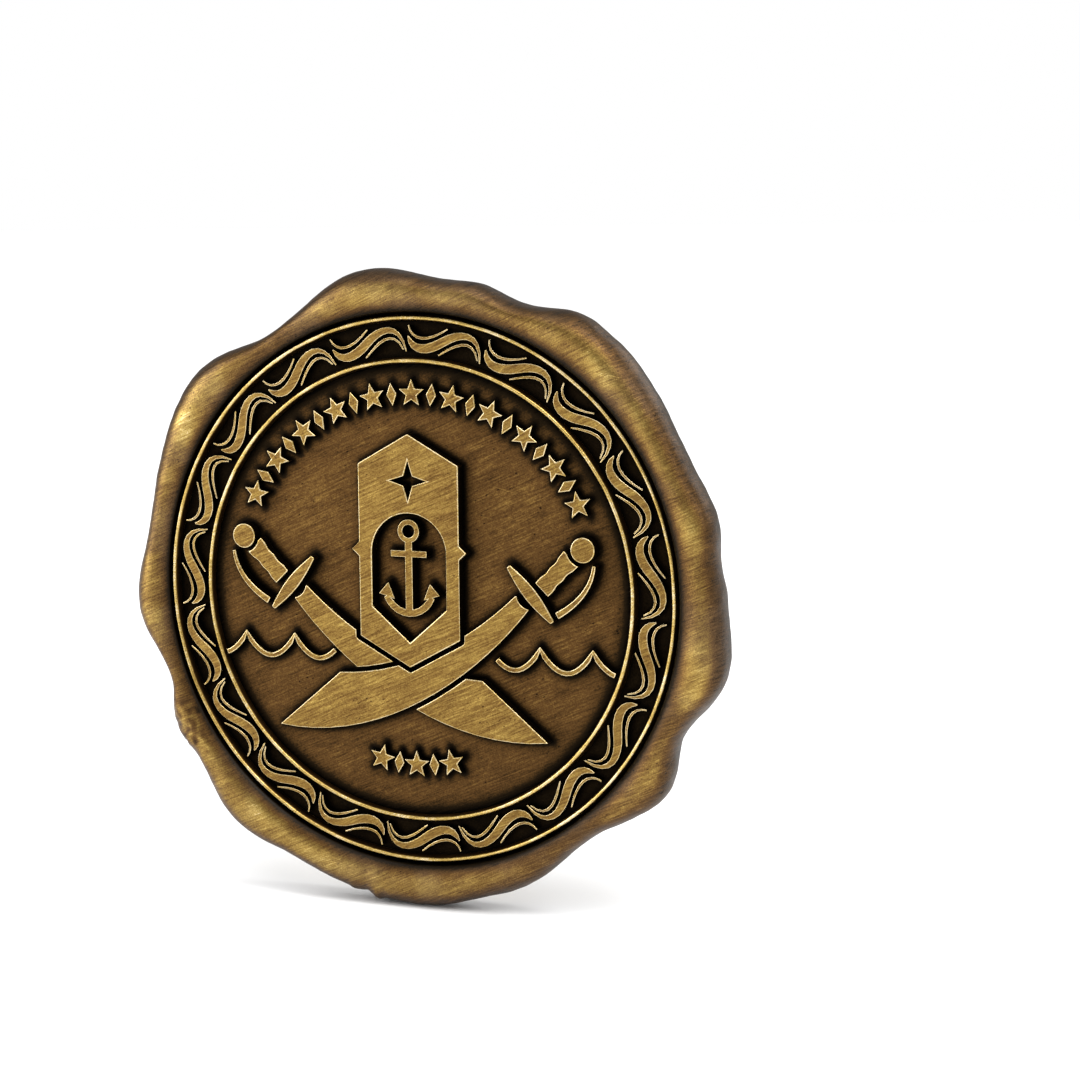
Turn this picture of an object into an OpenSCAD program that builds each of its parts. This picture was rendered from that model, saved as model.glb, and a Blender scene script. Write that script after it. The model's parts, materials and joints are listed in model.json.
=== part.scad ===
// Wax-seal challenge coin: crossed cutlasses on the obverse, a compass rose on the reverse.
// The coin stands upright, its obverse facing -Y, with its centre at the origin.

/* [Blank and rim] */
// Thickness over the rolled rim
coin_t = 4.6; // [4.2:0.1:5.4]
// Thickness of the disc that carries both faces
core_t = 1.5; // [1.2:0.1:1.8]
// Outer radius of the rim's turned ring, where the lobed edge begins
rim_r = 22.2; // [22.1:0.05:22.4]
// Width of the flat land on the rim's crest
land_w = 0.3; // [0.2:0.05:0.4]
// Fullness of the rolled edge, from a plain ellipse upwards
roll_fullness = 2.4; // [2:0.1:3]

/* [Bead rings] */
// Centre-line radius of the outer bead ring
outer_ring_r = 21; // [20.8:0.05:21.1]
// Centre-line radius of the inner bead ring
inner_ring_r = 17.75; // [17.6:0.05:17.9]
// Width of a bead ring at its foot
ring_w = 0.5; // [0.4:0.05:0.6]
// Height of a bead ring above the disc
ring_h = 0.8; // [0.6:0.05:1]

/* [Relief heights] */
// Height of each field above the disc
field_h = 0.2; // [0.1:0.05:0.3]
// Height of the cutlasses and the plaque above the field
emblem_h = 0.9; // [0.6:0.05:1]
// Height of stars, lozenges and waves above the field
ornament_h = 0.55; // [0.4:0.05:0.8]
// Height of the scrolls above the border floor
scroll_h = 0.6; // [0.4:0.05:0.8]
// Height of the compass rings above the field
compass_h = 0.45; // [0.3:0.05:0.6]
// Height of a needle's edges above the field
needle_edge_h = 0.3; // [0.2:0.05:0.4]
// Height of a cardinal needle's ridge above the field
cardinal_h = 1.05; // [0.9:0.05:1.15]
// Height of a diagonal needle's ridge above the field
diagonal_h = 0.8; // [0.6:0.05:0.9]
// Height of the degree stars above the field
degree_star_h = 0.7; // [0.6:0.05:0.8]
// Height of the hub's cap above the field
hub_cap_h = 0.95; // [0.7:0.05:1.1]

/* [Border and arcs] */
// Number of scrolls around the obverse border
scroll_count = 19; // [15:1:19]
// Number of scrolls on each side of the reverse border
side_scroll_count = 5; // [3:1:5]
// Radius of the star that stands in for a letter
star_r = 1.15; // [0.9:0.05:1.2]
// Number of stars over the plaque
arc_star_count = 11; // [7:2:11]

/* [Emblem] */
// Gap between the emblem's parts where they pass each other
emblem_gap = 0.35; // [0.25:0.05:0.5]
// Half width of the plaque
plaque_half_w = 4.2; // [4:0.1:4.4]
// Radius of a pommel
pommel_r = 0.97; // [0.8:0.01:1.05]

/* [Compass] */
// Reach of a cardinal needle's point
cardinal_r = 14.7; // [14:0.1:15.2]
// Reach of a diagonal needle's point
diagonal_r = 13; // [12.5:0.1:13.4]
// Centre-line radius of the band that carries the degree stars
band_r = 14.5; // [14.3:0.1:14.7]
// Radius of a pin's ball head
ball_r = 0.45; // [0.35:0.01:0.5]

/* [Hidden] */
$fn = 96;

brass = "darkgoldenrod";
bronze = "saddlebrown";
dark_bronze = "sienna";
pale_brass = "goldenrod";

// Levels above the coin's middle plane
crest_z = coin_t / 2;
core_z = core_t / 2;
field_z = core_z + field_h;
field_r = inner_ring_r - ring_w / 2;

// Rim outline: angle anticlockwise from +X and radius at each swell and hollow of the edge
rim_knots = [
    [0, 24.5], [7, 24.25], [15, 24.65], [25, 24.1], [55, 25.2], [70, 23.65], [78, 24.1], [84, 24],
    [100, 24.95], [121, 23.2], [140, 25.1], [169, 23.85], [185, 24.7], [200, 23.2], [210, 24.6],
    [216, 24.25], [230, 25.4], [245, 24.6], [268, 24.9], [286, 24.4], [307, 23.15], [324, 24.7],
    [334, 23.5], [348, 25.2], [360, 24.5]
];
rim_steps = 120;
roll_steps = 8;
inner_foot_r = outer_ring_r + ring_w / 2;
groove_w = 0.1;

// Border scroll: a thick S with a thin stroke in each bend, drawn flat about its own centre
border_mid_r = (outer_ring_r + inner_ring_r) / 2;
scroll_steps = 8;
scroll_spine = concat(
    bezier([-2.95, 0.25], [-2.6, -1], [-1.3, -0.95], [0, 0], scroll_steps),
    tail(bezier([0, 0], [1.1, 0.8], [2.75, 1.5], [3.3, -0.95], scroll_steps)));
scroll_w = [for (i = [0:2 * scroll_steps]) let (s = i / 2 / scroll_steps)
    0.1 + 0.64 * pow(abs(sin(180 * pow(s, 0.75))), 0.9)];
outer_stroke = bezier([-2.9, 1.07], [-2.7, -0.15], [-1.3, -0.3], [0.22, 1], scroll_steps);
inner_stroke = bezier([-0.33, -1.1], [0.9, -0.25], [2.2, 1], [3.05, -0.8], scroll_steps);
thin_stroke_w = [for (i = [0:scroll_steps]) 0.12 + 0.1 * sin(180 * i / scroll_steps)];

// Turns of the scrolls: the first on the obverse, then the middle and the pitch of a reverse side
first_turn = 8;
side_middle = 86;
side_pitch = 19;

// Star rows: waists as shares of star_r, radii of the arcs, pitches in degrees
star_waist = 0.42;
lozenge_w = 0.38;
lozenge_h = 0.8;
arc_r = 15.25;
arc_half_span = 62;
lower_row_r = 13.5;
lower_row_pitch = 6.3;
lower_star_count = 3;
border_row_pitch = 5.8;
top_star_count = 5;
bottom_star_count = 7;

// Emblem, drawn about its own middle line
emblem_x = -0.25;
plaque_top_y = 12.2;
plaque_shoulder_y = 9.85;
plaque_hip_y = -3.55;
plaque_foot_y = -5.85;
plaque_star_y = 8.6;
plaque_star_r = 1.5;
plaque_star_waist = 0.5;
spur_y = 3.2;
spur_reach = 0.6;
spur_half_h = 0.55;
niche_r = 3.1;
niche_y = 3;
niche_hip_y = -1.2;
niche_foot_y = -3.9;
blade_root_back = [8.8, 0.2];
blade_root_edge = [9.85, -0.88];
blade_back_corner = [-6, -6.5];
blade_tip = [-11.35, -11];
guard_top = [8.2, 2.4];
guard_foot = [11.75, -1.75];
grip_top = [13.3, 3.2];
grip_foot = [10.9, 0.72];
pommel_centre = [14.2, 3.85];
grip_gap = 0.3;
root_bite_centre = [10.05, 0.35];
root_bite_r = 1.2;
knuckle_bow_path = bezier([15.1, 2.7], [14.9, 0.8], [13.5, -0.4], [12.1, -1.2], 10);

// Widths: at an end of the guard and its further swell; of the grip, its ripple and the flare of
// its pommel end and guard end; of the knuckle bow at the pommel and its further swell
guard_w = [0.35, 0.7];
grip_w = 1.34;
grip_ripple = 0.07;
grip_flare = [0.4, 0.2];
bow_w = [0.3, 0.26];

// Waves: cusps a pitch apart, with a hanging arc between them
wave_cusp = [10.35, -3.85];
wave_pitch = 4.25;
wave_depth = 1.75;
wave_w = 0.42;

// Compass
needle_base_r = 2.3;
needle_base_w = 1.7;
cardinal_tip = 2;
diagonal_base_r = 3.6;
diagonal_base_w = 0.9;
diagonal_tip = 0.8;
band_w = 0.65;
thin_ring_r = 12.75;
scale_ring_r = 8;
scale_ring_w = 0.6;
centre_ring_r = 6.2;
thin_w = 0.28;
pin_head_r = 10.4;
pin_stem_w = 0.24;
pin_head_h = 0.15;
hub_r = 2.25;
hub_cap_r = 1.2;
degree_angles = [for (quarter = [0:90:270]) for (a = [15, 30, 60, 75]) quarter + a];

function bezier(p0, p1, p2, p3, n) =
    [for (i = [0:n]) let (t = i / n, s = 1 - t)
        pow(s, 3) * p0 + 3 * s * s * t * p1 + 3 * s * t * t * p2 + pow(t, 3) * p3];
function reversed(a) = [for (i = [len(a) - 1:-1:0]) a[i]];
function tail(a) = [for (i = [1:len(a) - 1]) a[i]];
function heading(path, i) =
    let (step = path[min(i + 1, len(path) - 1)] - path[max(i - 1, 0)]) step / norm(step);
function beside(path, widths, side) =
    [for (i = [0:len(path) - 1]) let (h = heading(path, i))
        path[i] + side * widths[i] / 2 * [-h[1], h[0]]];
// Wraps a flat drawing around the border, its middle at the top of the circle
function bent(path, r) =
    [for (p = path) let (a = p[0] / r * 180 / PI) (r + p[1]) * [sin(a), cos(a)]];
function star_points(n, r, waist) =
    [for (i = [0:2 * n - 1]) (i % 2 == 0 ? r : waist) * [sin(i * 180 / n), cos(i * 180 / n)]];
// Smooth step between the two knots on either side of an angle
function rim_outline(a) =
    let (i = max([for (k = [0:len(rim_knots) - 2]) if (rim_knots[k][0] <= a) k]),
         low = rim_knots[i],
         high = rim_knots[i + 1],
         blend = (1 - cos(180 * (a - low[0]) / (high[0] - low[0]))) / 2)
    low[1] + blend * (high[1] - low[1]);

// Sets a drawing of either face, seen from its own front, onto the standing coin
module on_obverse() { rotate([90, 0, 0]) children(); }
module on_reverse() { rotate([90, 0, 180]) children(); }

module stroke(path, widths) {
    polygon(concat(beside(path, widths, 1), reversed(beside(path, widths, -1))));
}

module raised(level, height) {
    translate([0, 0, level]) linear_extrude(height) children();
}

module band(r, w) {
    difference() {
        circle(r + w / 2);
        circle(r - w / 2);
    }
}

// ---- Blank and rim ----

module core_disc() {
    color(dark_bronze) on_obverse() cylinder(h = core_t, r = inner_foot_r, center = true);
}

module rim_ring() {
    crest_in = rim_r - land_w;
    groove_r = inner_foot_r + groove_w;
    half = [[inner_foot_r, core_z], [groove_r, core_z], [crest_in, crest_z], [rim_r, crest_z]];
    color(bronze) on_obverse() rotate_extrude()
        polygon(concat(half, [for (p = reversed(half)) [p[0], -p[1]]]));
}

// The rolled edge: half a rounded section from front crest to back crest, swept round
module rim_edge() {
    n = 2 * roll_steps + 1;
    points = [for (i = [0:rim_steps - 1]) let (a = 360 * i / rim_steps, reach = rim_outline(a) - rim_r)
        for (j = [0:n - 1]) let (
            tilt = 90 - 180 * j / (n - 1),
            out = pow(abs(cos(tilt)), 2 / roll_fullness),
            up = sign(tilt) * pow(abs(sin(tilt)), 2 / roll_fullness),
            r = rim_r + reach * out)
        [r * cos(a), r * sin(a), crest_z * up]];
    skin = [for (i = [0:rim_steps - 1]) let (k = (i + 1) % rim_steps)
        for (j = [0:n - 1]) let (m = (j + 1) % n)
        [i * n + j, i * n + m, k * n + m, k * n + j]];
    color(bronze) on_obverse() polyhedron(points, skin);
}

module face_disc() { raised(core_z, field_h) circle(field_r); }

module bead_ring(r) {
    crown = ring_w / 4;
    rotate_extrude() polygon([
        [r - ring_w / 2, core_z], [r + ring_w / 2, core_z],
        [r + ring_w / 2, core_z + ring_h - crown], [r + crown, core_z + ring_h],
        [r - crown, core_z + ring_h], [r - ring_w / 2, core_z + ring_h - crown]
    ]);
}

// ---- Border scrolls and star arcs ----

module scroll() {
    stroke(bent(scroll_spine, border_mid_r), scroll_w);
    stroke(bent(outer_stroke, border_mid_r), thin_stroke_w);
    stroke(bent(inner_stroke, border_mid_r), thin_stroke_w);
}

// Clockwise turns from the top of the coin, one for each scroll
module scrolls(turns) {
    raised(core_z, scroll_h) for (a = turns) rotate(-a) scroll();
}

module lozenge(half_w, half_h) {
    polygon([[half_w, 0], [0, half_h], [-half_w, 0], [0, -half_h]]);
}

// Stars with lozenges between them along an arc; the middle one stands on the middle line
module star_row(r, pitch, stars, flip) {
    for (i = [-(stars - 1):stars - 1])
        rotate(-i * pitch) translate([0, flip ? -r : r])
            if ((i + stars) % 2 == 1) polygon(star_points(5, star_r, star_r * star_waist));
            else lozenge(star_r * lozenge_w, star_r * lozenge_h);
}

module obverse_field() { color(bronze) on_obverse() face_disc(); }
module obverse_outer_ring() { color(pale_brass) on_obverse() bead_ring(outer_ring_r); }
module obverse_inner_ring() { color(pale_brass) on_obverse() bead_ring(inner_ring_r); }

module obverse_scrolls() {
    pitch = 360 / scroll_count;
    color(brass) on_obverse() scrolls([for (i = [0:scroll_count - 1]) first_turn + i * pitch]);
}

module obverse_star_arc() {
    color(pale_brass) on_obverse() raised(field_z, ornament_h)
        star_row(arc_r, arc_half_span / (arc_star_count - 1), arc_star_count, false);
}

module obverse_lower_stars() {
    color(pale_brass) on_obverse() raised(field_z, ornament_h)
        star_row(lower_row_r, lower_row_pitch, lower_star_count, true);
}

// ---- Plaque ----

module plaque_outline() {
    w = plaque_half_w;
    flank = [[w, plaque_shoulder_y], [w, spur_y + spur_half_h], [w + spur_reach, spur_y],
             [w, spur_y - spur_half_h], [w, plaque_hip_y]];
    polygon(concat(
        [[0, plaque_top_y]], flank,
        [[0, plaque_foot_y]], [for (p = reversed(flank)) [-p[0], p[1]]]));
}

module niche_outline() {
    translate([0, niche_y]) circle(niche_r);
    polygon([
        [niche_r, niche_y], [-niche_r, niche_y], [-niche_r, niche_hip_y],
        [0, niche_foot_y], [niche_r, niche_hip_y]
    ]);
}

module plaque() {
    color(brass) on_obverse() raised(field_z, emblem_h) translate([emblem_x, 0]) difference() {
        plaque_outline();
        niche_outline();
        translate([0, plaque_star_y]) polygon(star_points(4, plaque_star_r, plaque_star_waist));
    }
}

// Ring, shank, stock, curved arms and two flukes, run together into one outline
module plaque_anchor() {
    arm_r = 2;
    arm_y = 0.4;
    arm_w = 0.55;
    arms = [for (a = [200:14:340]) [arm_r * cos(a), arm_y + arm_r * sin(a)]];
    fluke = [[2.55, -0.15], [1.75, 0.75], [1.2, -0.55]];
    ring_y = 4.75;
    eye_r = 0.7;
    eye_w = 0.4;
    shank_w = 0.6;
    shank_foot_y = -1.8;
    stock_y = 3;
    stock_l = 3;
    stock_w = 0.5;
    fuse = 0.05;
    color(brass) on_obverse() raised(field_z, emblem_h) translate([emblem_x, 0])
        offset(delta = -fuse) offset(delta = fuse) {
            translate([0, ring_y]) band(eye_r, eye_w, $fn = 32);
            translate([-shank_w / 2, shank_foot_y])
                square([shank_w, ring_y - eye_r + eye_w / 2 - shank_foot_y]);
            translate([0, stock_y]) square([stock_l, stock_w], center = true);
            stroke(arms, [for (a = arms) arm_w]);
            polygon(fluke);
            mirror([1, 0]) polygon(fluke);
        }
}

// ---- Cutlasses: drawn for the right-hand one, mirrored for the left ----

module blade_outline() {
    back = bezier(blade_root_back, [5, -3.4], [-0.2, -6.4], blade_back_corner, 14);
    belly = bezier(blade_root_edge, [5.6, -6.2], [-2.5, -12.2], blade_tip, 18);
    difference() {
        polygon(concat(back, reversed(belly)));
        translate(root_bite_centre) circle(root_bite_r);
    }
}

module right_cutlass_blade() {
    color(brass) on_obverse() raised(field_z, emblem_h) translate([emblem_x, 0]) difference() {
        blade_outline();
        offset(emblem_gap) plaque_outline();
    }
}

module left_cutlass_blade() {
    color(brass) on_obverse() raised(field_z, emblem_h) translate([emblem_x, 0]) difference() {
        mirror([1, 0]) blade_outline();
        offset(emblem_gap) plaque_outline();
        offset(emblem_gap) blade_outline();
    }
}

module hilt_part(side) {
    color(brass) on_obverse() raised(field_z, emblem_h)
        translate([emblem_x, 0]) mirror([side < 0 ? 1 : 0, 0]) children();
}

module guard_outline() {
    path = [for (t = [0:0.125:1]) guard_top + t * (guard_foot - guard_top)];
    stroke(path, [for (t = [0:0.125:1]) guard_w[0] + guard_w[1] * sin(180 * t)]);
}

// Three shallow swells along the grip, flared ends, and a hollow where the pommel sits
module grip_outline() {
    n = 18;
    path = [for (i = [0:n]) grip_top + i / n * (grip_foot - grip_top)];
    difference() {
        stroke(path, [for (i = [0:n]) grip_w - grip_ripple * cos(3 * 360 * i / n)
            + grip_flare[0] * pow(1 - i / n, 5) + grip_flare[1] * pow(i / n, 5)]);
        translate(pommel_centre) circle(pommel_r + grip_gap);
    }
}

module knuckle_bow_outline() {
    stroke(knuckle_bow_path, [for (i = [0:10]) bow_w[0] + bow_w[1] * i / 10]);
}

module left_guard() { hilt_part(-1) guard_outline(); }
module right_guard() { hilt_part(1) guard_outline(); }
module left_grip() { hilt_part(-1) grip_outline(); }
module right_grip() { hilt_part(1) grip_outline(); }
module left_pommel() { hilt_part(-1) translate(pommel_centre) circle(pommel_r); }
module right_pommel() { hilt_part(1) translate(pommel_centre) circle(pommel_r); }
module left_knuckle_bow() { hilt_part(-1) knuckle_bow_outline(); }
module right_knuckle_bow() { hilt_part(1) knuckle_bow_outline(); }

// ---- Waves ----

// Height of the wave line at a distance along it, counted in pitches from the first cusp
function wave_y(s) = wave_cusp[1] - wave_depth * pow(abs(sin(180 * s)), 0.8);

module wave_line() {
    path = [for (i = [-10:17]) let (s = i / 12) [wave_cusp[0] + s * wave_pitch, wave_y(s)]];
    stroke(path, [for (p = path) wave_w]);
}

module left_waves() {
    color(pale_brass) on_obverse() raised(field_z, ornament_h) mirror([1, 0]) wave_line();
}

module right_waves() {
    color(pale_brass) on_obverse() raised(field_z, ornament_h) wave_line();
}

// ---- Reverse: border ----

module reverse_field() { color(bronze) on_reverse() face_disc(); }
module reverse_outer_ring() { color(pale_brass) on_reverse() bead_ring(outer_ring_r); }
module reverse_inner_ring() { color(pale_brass) on_reverse() bead_ring(inner_ring_r); }

module reverse_scrolls() {
    reach = (side_scroll_count - 1) / 2;
    color(brass) on_reverse() scrolls([for (i = [-reach:reach])
        for (middle = [side_middle, 360 - side_middle]) middle + i * side_pitch]);
}

module reverse_top_stars() {
    color(pale_brass) on_reverse() raised(core_z, scroll_h)
        star_row(border_mid_r, border_row_pitch, top_star_count, false);
}

module reverse_bottom_stars() {
    color(pale_brass) on_reverse() raised(core_z, scroll_h)
        star_row(border_mid_r, border_row_pitch, bottom_star_count, true);
}

// ---- Reverse: compass rose ----

// Footprint of a needle that points up, from its base to its point and thin tip
module needle_outline(base_r, base_w, reach, tip_r) {
    tip_w = 0.16;
    polygon([
        [-base_w, base_r], [-tip_w, reach], [-tip_w, tip_r],
        [tip_w, tip_r], [tip_w, reach], [base_w, base_r]
    ]);
}

module needle(base_r, base_w, reach, tip_r, ridge_h) {
    edge_z = field_z + needle_edge_h;
    ridge_z = field_z + ridge_h;
    inset = 0.02;
    raised(field_z, needle_edge_h) needle_outline(base_r, base_w, reach, tip_r);
    polyhedron(
        [[-base_w + inset, base_r + inset, edge_z], [base_w - inset, base_r + inset, edge_z],
         [0, reach, edge_z], [0, base_r + inset, ridge_z]],
        [[0, 1, 2], [0, 3, 1], [1, 3, 2], [2, 3, 0]]);
}

module cardinal_outline() {
    for (a = [0:90:270]) rotate(a)
        needle_outline(needle_base_r, needle_base_w, cardinal_r, cardinal_r + cardinal_tip);
}

module diagonal_outline() {
    for (a = [45:90:315]) rotate(a)
        needle_outline(diagonal_base_r, diagonal_base_w, diagonal_r, diagonal_r + diagonal_tip);
}

module degree_star_outline() {
    flank = [[0.3, 0.75], [0.8, 0.1], [0.42, -0.9], [0.1, -2.9]];
    for (a = degree_angles) rotate(a) translate([0, band_r])
        polygon(concat([[0, 1.9]], flank, [for (p = reversed(flank)) [-p[0], p[1]]]));
}

// A flat ring, left out where needles and stars cross it
module compass_ring(r, w) {
    raised(field_z, compass_h) difference() {
        band(r, w);
        cardinal_outline();
        diagonal_outline();
        degree_star_outline();
    }
}

module compass_band() { color(pale_brass) on_reverse() compass_ring(band_r, band_w); }
module compass_thin_ring() { color(pale_brass) on_reverse() compass_ring(thin_ring_r, thin_w); }
module compass_scale_ring() { color(pale_brass) on_reverse() compass_ring(scale_ring_r, scale_ring_w); }
module compass_centre_ring() { color(pale_brass) on_reverse() compass_ring(centre_ring_r, thin_w); }

module cardinal_needles() {
    color(brass) on_reverse() for (a = [0:90:270]) rotate(a)
        needle(needle_base_r, needle_base_w, cardinal_r, cardinal_r + cardinal_tip, cardinal_h);
}

module diagonal_needles() {
    color(brass) on_reverse() for (a = [45:90:315]) rotate(a)
        needle(diagonal_base_r, diagonal_base_w, diagonal_r, diagonal_r + diagonal_tip, diagonal_h);
}

module degree_stars() {
    color(brass) on_reverse() raised(field_z, degree_star_h) degree_star_outline();
}

// Short radial stems that stand on the scale ring and end in round heads
module ball_pins() {
    foot_r = scale_ring_r + scale_ring_w / 2;
    color(pale_brass) on_reverse() for (a = degree_angles) rotate(a) {
        raised(field_z, compass_h) translate([-pin_stem_w / 2, foot_r])
            square([pin_stem_w, pin_head_r - foot_r]);
        translate([0, pin_head_r, field_z]) cylinder(h = compass_h + pin_head_h, r = ball_r);
    }
}

module compass_hub() {
    color(brass) on_reverse() {
        raised(field_z, compass_h) circle(hub_r);
        raised(field_z, hub_cap_h) circle(hub_cap_r);
    }
}

core_disc();
rim_ring();
rim_edge();
obverse_field();
obverse_outer_ring();
obverse_inner_ring();
obverse_scrolls();
obverse_star_arc();
obverse_lower_stars();
plaque();
plaque_anchor();
left_cutlass_blade();
right_cutlass_blade();
left_guard();
right_guard();
left_grip();
right_grip();
left_pommel();
right_pommel();
left_knuckle_bow();
right_knuckle_bow();
left_waves();
right_waves();
reverse_field();
reverse_outer_ring();
reverse_inner_ring();
reverse_scrolls();
reverse_top_stars();
reverse_bottom_stars();
compass_band();
compass_thin_ring();
compass_scale_ring();
compass_centre_ring();
cardinal_needles();
diagonal_needles();
degree_stars();
ball_pins();
compass_hub();
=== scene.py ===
import json
import math

import bmesh
import bpy
import numpy as np
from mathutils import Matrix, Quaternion, Vector, noise
from mathutils.kdtree import KDTree

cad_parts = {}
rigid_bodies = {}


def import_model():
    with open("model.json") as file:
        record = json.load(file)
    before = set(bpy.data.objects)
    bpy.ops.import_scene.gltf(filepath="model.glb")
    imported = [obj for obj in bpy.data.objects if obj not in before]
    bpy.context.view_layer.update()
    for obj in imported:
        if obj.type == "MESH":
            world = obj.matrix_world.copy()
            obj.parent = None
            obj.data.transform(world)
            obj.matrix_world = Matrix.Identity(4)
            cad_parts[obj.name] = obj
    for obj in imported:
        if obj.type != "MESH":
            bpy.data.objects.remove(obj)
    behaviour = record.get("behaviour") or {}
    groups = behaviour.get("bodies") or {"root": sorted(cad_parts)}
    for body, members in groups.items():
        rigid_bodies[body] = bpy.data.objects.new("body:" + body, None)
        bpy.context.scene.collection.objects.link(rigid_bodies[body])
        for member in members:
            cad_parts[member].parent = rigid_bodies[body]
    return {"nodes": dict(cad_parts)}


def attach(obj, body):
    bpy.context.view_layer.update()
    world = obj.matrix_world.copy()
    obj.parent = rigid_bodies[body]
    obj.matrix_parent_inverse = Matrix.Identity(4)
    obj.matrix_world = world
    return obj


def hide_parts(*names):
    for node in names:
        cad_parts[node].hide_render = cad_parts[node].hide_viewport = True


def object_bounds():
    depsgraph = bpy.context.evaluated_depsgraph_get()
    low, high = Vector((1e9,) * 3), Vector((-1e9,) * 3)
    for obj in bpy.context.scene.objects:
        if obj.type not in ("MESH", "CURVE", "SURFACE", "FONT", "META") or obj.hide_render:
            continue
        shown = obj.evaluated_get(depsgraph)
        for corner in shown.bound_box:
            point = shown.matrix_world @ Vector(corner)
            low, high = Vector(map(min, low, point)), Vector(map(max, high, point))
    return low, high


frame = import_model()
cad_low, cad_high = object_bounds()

MM = 0.001
scene = bpy.context.scene
noise.seed_set(7)

# ---- Sizes shared with the CAD model, in millimetres ----

CORE_Z = 0.75
FIELD_Z = 0.95
RING_TOP = 1.55
FIELD_R = 17.5
OUTER_RING_R = 21.0
INNER_RING_R = 17.75
RING_W = 0.5
FOOT_R = 21.25
CREST_Z = 2.3
RIM_KNOTS = [
    (0, 24.5), (7, 24.25), (15, 24.65), (25, 24.1), (55, 25.2), (70, 23.65), (78, 24.1), (84, 24),
    (100, 24.95), (121, 23.2), (140, 25.1), (169, 23.85), (185, 24.7), (200, 23.2), (210, 24.6),
    (216, 24.25), (230, 25.4), (245, 24.6), (268, 24.9), (286, 24.4), (307, 23.15), (324, 24.7),
    (334, 23.5), (348, 25.2), (360, 24.5),
]
# Small chips of the seal's edge: angle, half width in degrees, height
CHIPS = [
    (256.6, 0.8, 0.12), (259.3, 0.9, -0.2), (261.6, 0.8, 0.2), (209.0, 1.6, -0.1), (213.5, 1.2, 0.1),
]
# How far pieces sink into the ground below them
SINK = 0.03
# Turns of the sixteen ball pins
PIN_TURNS = [quarter + a for quarter in (0, 90, 180, 270) for a in (15, 30, 60, 75)]

OBVERSE = 1
REVERSE = -1


def place(x, y, z, side):
    """A point of either face's drawing, seen from its own front, on the standing coin."""
    return (side * x, -side * z, y)


def unit(value):
    """A value held between 0 and 1."""
    return min(1, max(0, value))


def rim_outline(angle):
    """Radius of the rim's outline: smooth steps between the knots, with the chips added."""
    a = angle % 360
    for (a0, r0), (a1, r1) in zip(RIM_KNOTS, RIM_KNOTS[1:]):
        if a0 <= a <= a1:
            r = r0 + (r1 - r0) * (1 - math.cos(math.pi * (a - a0) / (a1 - a0))) / 2
            break
    for at, half, high in CHIPS:
        r += high * math.exp(-(((a - at) / half) ** 2))
    return r


# ---- Meshes ----


def new_piece(name, verts, faces, material, nodes, attributes):
    """A piece from points in millimetres, with vertex attributes for its material."""
    mesh = bpy.data.meshes.new(name)
    mesh.from_pydata([tuple(c * MM for c in v) for v in verts], [], faces)
    mesh.update()
    mesh.shade_smooth()
    for key, values in attributes.items():
        layer = mesh.attributes.new(key, "FLOAT", "POINT")
        layer.data.foreach_set("value", np.asarray(values, dtype=np.float32))
    obj = bpy.data.objects.new(name, mesh)
    scene.collection.objects.link(obj)
    mesh.materials.append(material)
    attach(obj, "root")
    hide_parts(*nodes)


def swept(sections):
    """A closed sweep of closed sections that all have the same number of points."""
    n, m = len(sections), len(sections[0])
    verts = [p for section in sections for p in section]
    faces = []
    for i in range(n):
        k = (i + 1) % n
        for j in range(m):
            following = (j + 1) % m
            faces.append((i * m + j, i * m + following, k * m + following, k * m + j))
    return verts, faces


# ---- Materials ----


class Nodes:
    """Short ways to add shader nodes to one material."""

    def __init__(self, name):
        self.material = bpy.data.materials.new(name)
        self.material.use_nodes = True
        self.tree = self.material.node_tree
        self.tree.nodes.clear()
        self.out = self.add("ShaderNodeOutputMaterial")

    def add(self, kind, **settings):
        node = self.tree.nodes.new(kind)
        for key, value in settings.items():
            setattr(node, key, value)
        return node

    def wire(self, value, socket):
        if isinstance(value, bpy.types.NodeSocket):
            self.tree.links.new(value, socket)
        else:
            socket.default_value = value

    def math(self, operation, a, b=0.0, c=0.0, clamp=False):
        node = self.add("ShaderNodeMath", operation=operation, use_clamp=clamp)
        for value, socket in zip((a, b, c), node.inputs):
            self.wire(value, socket)
        return node.outputs[0]

    def vector(self, operation, a, b):
        node = self.add("ShaderNodeVectorMath", operation=operation)
        self.wire(a, node.inputs[0])
        self.wire(b, node.inputs[1])
        return node.outputs["Value" if operation == "DOT_PRODUCT" else "Vector"]

    def combine(self, x, y, z):
        node = self.add("ShaderNodeCombineXYZ")
        for value, socket in zip((x, y, z), node.inputs):
            self.wire(value, socket)
        return node.outputs[0]

    def noise(self, vector, scale, detail=2.0, rough=0.5):
        node = self.add("ShaderNodeTexNoise")
        self.wire(vector, node.inputs["Vector"])
        node.inputs["Scale"].default_value = scale
        node.inputs["Detail"].default_value = detail
        node.inputs["Roughness"].default_value = rough
        return node.outputs["Fac"]

    def step(self, value, low, high, to_low=0.0, to_high=1.0):
        node = self.add("ShaderNodeMapRange", interpolation_type="SMOOTHSTEP")
        self.wire(value, node.inputs["Value"])
        for key, number in (("From Min", low), ("From Max", high), ("To Min", to_low), ("To Max", to_high)):
            node.inputs[key].default_value = number
        return node.outputs["Result"]

    def ramp(self, value, stops):
        node = self.add("ShaderNodeValToRGB")
        self.wire(value, node.inputs["Fac"])
        ramp = node.color_ramp
        while len(ramp.elements) < len(stops):
            ramp.elements.new(0.5)
        for element, (position, colour) in zip(ramp.elements, stops):
            element.position = position
            element.color = (*colour, 1)
        return node.outputs["Color"]


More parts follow.
